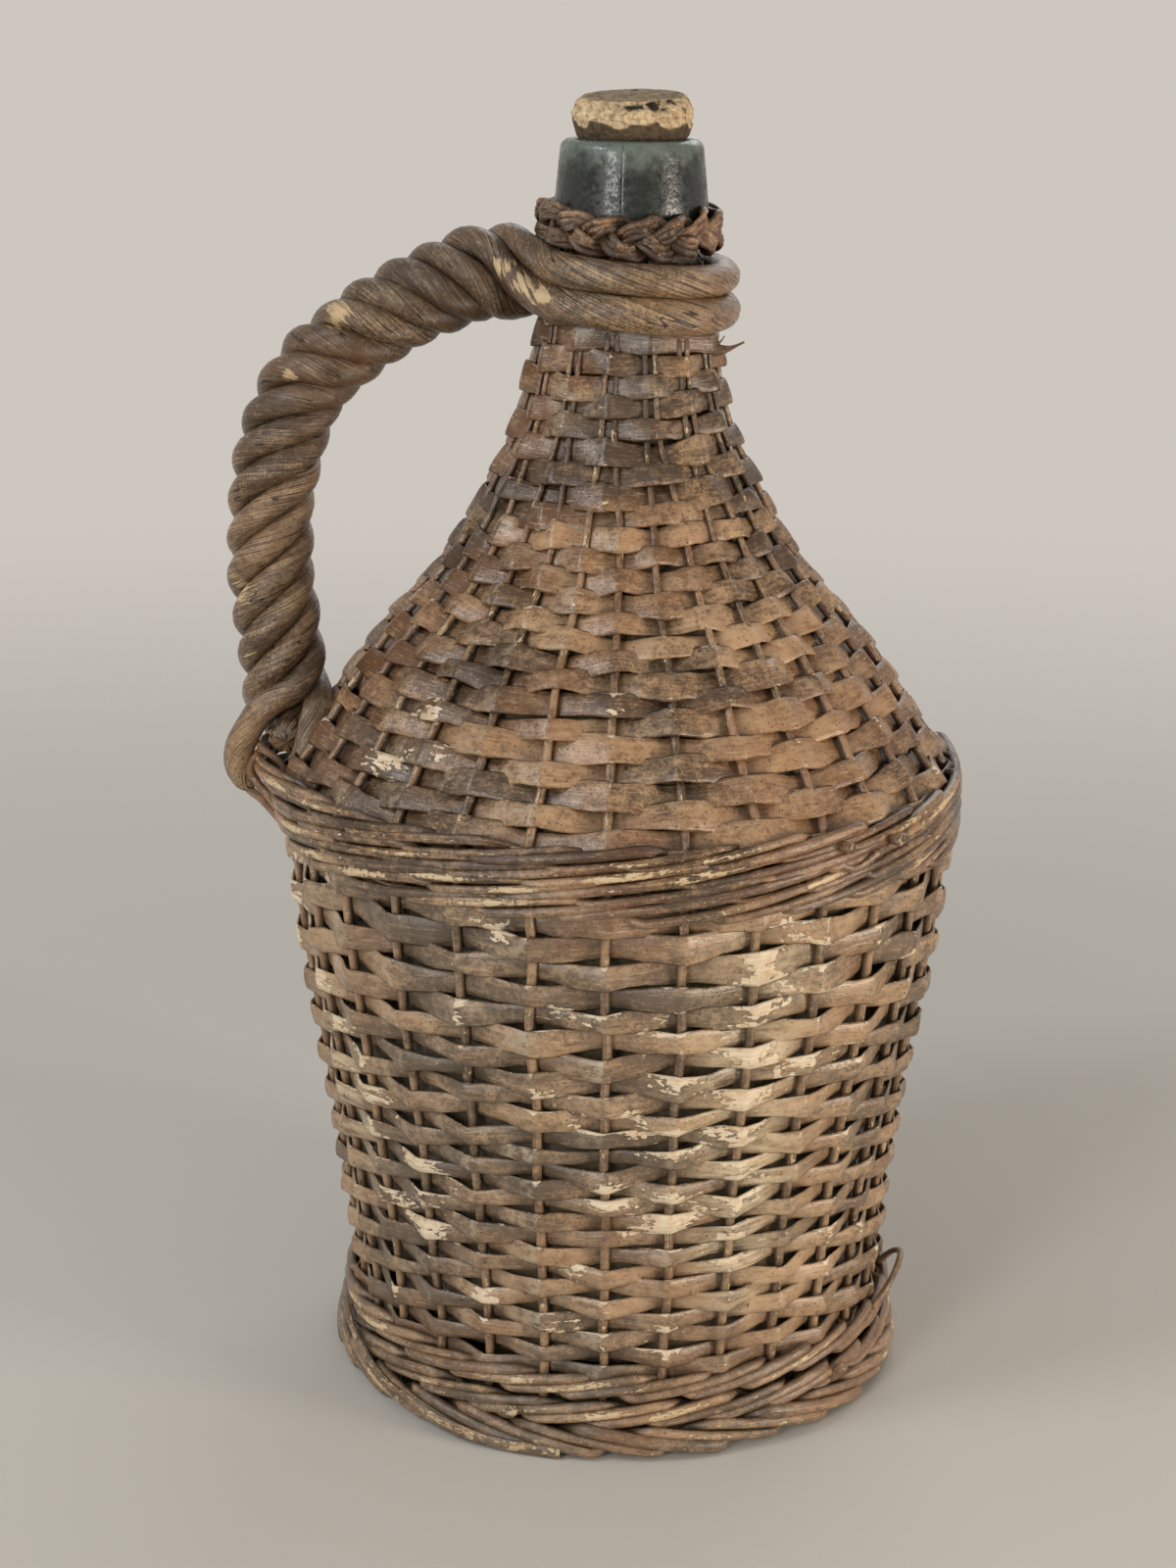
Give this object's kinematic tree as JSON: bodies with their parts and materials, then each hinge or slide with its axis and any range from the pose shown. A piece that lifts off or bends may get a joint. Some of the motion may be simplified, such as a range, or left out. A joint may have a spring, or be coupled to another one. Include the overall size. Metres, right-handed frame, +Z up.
{
  "type": "wicker demijohn",
  "caption": "Narrow-necked glass demijohn with a cork, cased in woven willow with a foot border, a waist band, a plaited collar and a twisted rope-like side handle.",
  "frame": {"origin": "on the bottle's axis, at the flat underside of the base sticks, on which the demijohn stands", "axes": "+Z up along the bottle's axis to the cork, -X towards the handle, +Y to the back as the picture sees it"},
  "size_m": [0.2887, 0.2676, 0.4997],
  "materials": {
    "glass": "dark green-grey bottle glass, slightly frosted by wear",
    "cork": "pressed cork bark, grainy and pitted",
    "willow_rod": "round willow rod in its brown skin, aged and dry",
    "willow_skein": "split willow strip, aged brown, dusty sheen, skin flaking to pale wood",
    "handle_rod": "thick twisted willow rod, wrinkled and cracked along its grain"
  },
  "bodies": {
    "vessel": {"bottle": "glass", "base_sticks": "willow_rod", "base_weave": "willow_skein", "stake_01": "willow_rod", "stake_02": "willow_rod", "stake_03": "willow_rod", "stake_04": "willow_rod", "stake_05": "willow_rod", "stake_06": "willow_rod", "stake_07": "willow_rod", "stake_08": "willow_rod", "stake_09": "willow_rod", "stake_10": "willow_rod", "stake_11": "willow_rod", "stake_12": "willow_rod", "stake_13": "willow_rod", "stake_14": "willow_rod", "stake_15": "willow_rod", "stake_16": "willow_rod", "stake_17": "willow_rod", "stake_18": "willow_rod", "stake_19": "willow_rod", "stake_20": "willow_rod", "stake_21": "willow_rod", "stake_22": "willow_rod", "stake_23": "willow_rod", "stake_24": "willow_rod", "stake_25": "willow_rod", "stake_26": "willow_rod", "stake_27": "willow_rod", "stake_28": "willow_rod", "stake_29": "willow_rod", "lower_weave": "willow_skein", "shoulder_weave": "willow_skein", "neck_weave": "willow_skein", "foot_rod_1": "willow_rod", "foot_rod_2": "willow_rod", "foot_rod_3": "willow_rod", "foot_rod_4": "willow_rod", "foot_rod_5": "willow_rod", "foot_rod_6": "willow_rod", "foot_rod_7": "willow_rod", "waist_rod_1": "willow_rod", "waist_rod_2": "willow_rod", "waist_rod_3": "willow_rod", "waist_rod_4": "willow_rod", "waist_rod_5": "willow_rod", "plait_strand_1": "willow_rod", "plait_strand_2": "willow_rod", "plait_strand_3": "willow_rod", "handle_rod_a": "handle_rod", "handle_rod_b": "handle_rod"},
    "stopper": {"cork": "cork"}
  },
  "joints": [
    {"name": "cork_pull", "type": "slide", "parent": "vessel", "child": "stopper", "axis": [0, 0, 1], "range_m": [0, 0.06]}
  ]
}
